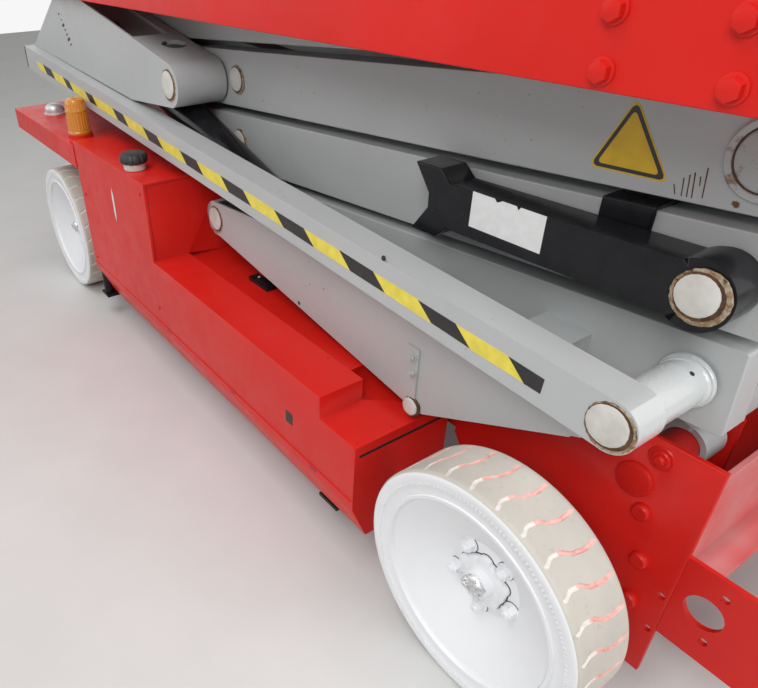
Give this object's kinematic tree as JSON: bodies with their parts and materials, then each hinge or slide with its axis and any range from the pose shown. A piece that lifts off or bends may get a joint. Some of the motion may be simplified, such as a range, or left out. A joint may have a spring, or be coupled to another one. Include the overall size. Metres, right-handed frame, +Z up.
{
  "type": "scissor lift",
  "caption": "Self-propelled scissor lift with a stacked pinned arm set, side trays, four solid wheels and a railed platform with a sliding deck.",
  "frame": {"origin": "on the floor under the middle of the machine", "axes": "+X towards the entry end, +Y towards the right side as seen by a driver who faces the steered wheels at -X, +Z up"},
  "size_m": [3.6, 1.5, 2.58],
  "materials": {
    "red_paint": "glossy red enamel with scuffs",
    "grey_paint": "light grey enamel with rust at the pins",
    "black_paint": "gloss black enamel",
    "white_paint": "white wheel paint",
    "tyre_rubber": "light non-marking solid rubber, scuffed",
    "bare_steel": "machined and zinc plated steel",
    "amber_lens": "translucent amber plastic",
    "deck_plate": "tread plate",
    "dark_plastic": "moulded black plastic"
  },
  "bodies": {
    "chassis": {"steer_axle": "black_paint", "fixed_axle": "black_paint", "chassis_frame": "red_paint", "side_plates": "red_paint", "end_plate": "red_paint", "entry_step": "red_paint", "steer_bumper": "red_paint", "fenders": "red_paint", "filler_cap": "bare_steel", "beacon_base": "dark_plastic", "beacon_lens": "amber_lens", "tray_posts": "red_paint"},
    "knuckle_left": {"knuckle_left": "black_paint"},
    "knuckle_right": {"knuckle_right": "black_paint"},
    "wheel_steer_left": {"tyre_steer_left": "tyre_rubber", "wheel_steer_left": "white_paint"},
    "wheel_steer_right": {"tyre_steer_right": "tyre_rubber", "wheel_steer_right": "white_paint"},
    "wheel_fixed_left": {"tyre_fixed_left": "tyre_rubber", "wheel_fixed_left": "white_paint"},
    "wheel_fixed_right": {"tyre_fixed_right": "tyre_rubber", "wheel_fixed_right": "white_paint"},
    "tray_left": {"tray_left": "red_paint", "battery_left": "black_paint", "tank_cap": "dark_plastic"},
    "tray_right": {"tray_right": "red_paint", "battery_right": "black_paint"},
    "arm_1_inner": {"arm_1_inner": "grey_paint"},
    "arm_1_outer": {"arm_1_outer": "grey_paint", "lower_rollers": "bare_steel", "lower_leaves": "grey_paint"},
    "arm_2_inner": {"arm_2_inner": "grey_paint", "striped_arms": "grey_paint", "upper_leaves": "grey_paint"},
    "arm_2_outer": {"arm_2_outer": "grey_paint", "maintenance_lock": "black_paint", "lock_pins": "bare_steel"},
    "arm_3_inner": {"arm_3_inner": "grey_paint"},
    "arm_3_outer": {"arm_3_outer": "grey_paint"},
    "arm_4_inner": {"arm_4_inner": "grey_paint", "upper_rollers": "bare_steel"},
    "arm_4_outer": {"arm_4_outer": "grey_paint"},
    "platform": {"platform_floor": "red_paint", "guard_rails": "grey_paint"},
    "entry_gate": {"entry_gate": "grey_paint"},
    "sliding_deck": {"slide_deck": "deck_plate", "slide_rails": "grey_paint", "control_box": "dark_plastic"},
    "lift_barrels": {"lift_barrels": "black_paint"},
    "lift_rods": {"lift_rods": "bare_steel"}
  },
  "joints": [
    {"name": "lift", "type": "hinge", "parent": "chassis", "child": "arm_1_inner", "pos_m": [1.48, 0, 0.577], "axis": [0, 1, 0], "range_deg": [0, 44]},
    {"name": "arm_1_cross", "type": "hinge", "parent": "arm_1_inner", "child": "arm_1_outer", "pos_m": [-0.0575, 0, 0.673], "axis": [0, 1, 0], "range_deg": [-88, 0]},
    {"name": "arm_2_foot", "type": "hinge", "parent": "arm_1_outer", "child": "arm_2_inner", "pos_m": [1.48, 0, 0.769], "axis": [0, 1, 0], "range_deg": [0, 88]},
    {"name": "arm_2_cross", "type": "hinge", "parent": "arm_2_inner", "child": "arm_2_outer", "pos_m": [-0.0575, 0, 0.865], "axis": [0, 1, 0], "range_deg": [-88, 0]},
    {"name": "arm_3_foot", "type": "hinge", "parent": "arm_2_outer", "child": "arm_3_inner", "pos_m": [1.48, 0, 0.961], "axis": [0, 1, 0], "range_deg": [0, 88]},
    {"name": "arm_3_cross", "type": "hinge", "parent": "arm_3_inner", "child": "arm_3_outer", "pos_m": [-0.0575, 0, 1.057], "axis": [0, 1, 0], "range_deg": [-88, 0]},
    {"name": "arm_4_foot", "type": "hinge", "parent": "arm_3_outer", "child": "arm_4_inner", "pos_m": [1.48, 0, 1.153], "axis": [0, 1, 0], "range_deg": [0, 88]},
    {"name": "arm_4_cross", "type": "hinge", "parent": "arm_4_inner", "child": "arm_4_outer", "pos_m": [-0.0575, 0, 1.249], "axis": [0, 1, 0], "range_deg": [-88, 0]},
    {"name": "platform_pivot", "type": "hinge", "parent": "arm_4_outer", "child": "platform", "pos_m": [1.48, 0, 1.345], "axis": [0, 1, 0], "range_deg": [0, 44]},
    {"name": "cylinder_foot", "type": "hinge", "parent": "arm_1_outer", "child": "lift_barrels", "pos_m": [0.995, 0, 0.545], "axis": [0, 1, 0], "range_deg": [0, 89.23]},
    {"name": "cylinder_stroke", "type": "slide", "parent": "lift_barrels", "child": "lift_rods", "axis": [-0.9569, 0, 0.2904], "range_m": [0, 0.742]},
    {"name": "steer_left", "type": "hinge", "parent": "chassis", "child": "knuckle_left", "pos_m": [-1.182, -0.52, 0.2794], "axis": [0, 0, 1], "range_deg": [-35, 35]},
    {"name": "steer_right", "type": "hinge", "parent": "chassis", "child": "knuckle_right", "pos_m": [-1.182, 0.52, 0.2794], "axis": [0, 0, 1], "range_deg": [-35, 35]},
    {"name": "roll_steer_left", "type": "hinge", "parent": "knuckle_left", "child": "wheel_steer_left", "pos_m": [-1.182, -0.66, 0.2794], "axis": [0, 1, 0], "continuous": true},
    {"name": "roll_steer_right", "type": "hinge", "parent": "knuckle_right", "child": "wheel_steer_right", "pos_m": [-1.182, 0.66, 0.2794], "axis": [0, 1, 0], "continuous": true},
    {"name": "roll_fixed_left", "type": "hinge", "parent": "chassis", "child": "wheel_fixed_left", "pos_m": [1.345, -0.66, 0.2794], "axis": [0, 1, 0], "continuous": true},
    {"name": "roll_fixed_right", "type": "hinge", "parent": "chassis", "child": "wheel_fixed_right", "pos_m": [1.345, 0.66, 0.2794], "axis": [0, 1, 0], "continuous": true},
    {"name": "swing_tray_left", "type": "hinge", "parent": "chassis", "child": "tray_left", "pos_m": [-0.777, -0.722, 0.3], "axis": [0, 0, -1], "range_deg": [0, 90]},
    {"name": "swing_tray_right", "type": "hinge", "parent": "chassis", "child": "tray_right", "pos_m": [-0.777, 0.722, 0.3], "axis": [0, 0, 1], "range_deg": [0, 90]},
    {"name": "gate_swing", "type": "hinge", "parent": "platform", "child": "entry_gate", "pos_m": [1.655, 0.309, 1.98], "axis": [0, 0, -1], "range_deg": [0, 90]},
    {"name": "deck_slide", "type": "slide", "parent": "platform", "child": "sliding_deck", "axis": [-1, 0, 0], "range_m": [0, 0.9]}
  ],
  "couplings": [
    {"joint": "arm_1_cross", "follows": "lift", "ratio": -2},
    {"joint": "arm_2_foot", "follows": "lift", "ratio": 2},
    {"joint": "arm_2_cross", "follows": "lift", "ratio": -2},
    {"joint": "arm_3_foot", "follows": "lift", "ratio": 2},
    {"joint": "arm_3_cross", "follows": "lift", "ratio": -2},
    {"joint": "arm_4_foot", "follows": "lift", "ratio": 2},
    {"joint": "arm_4_cross", "follows": "lift", "ratio": -2},
    {"joint": "platform_pivot", "follows": "lift", "ratio": 1},
    {"joint": "cylinder_foot", "follows": "lift", "ratio": 2.0268},
    {"joint": "cylinder_stroke", "follows": "lift", "m_per_rad": 0.9645},
    {"joint": "steer_right", "follows": "steer_left", "ratio": 1}
  ]
}
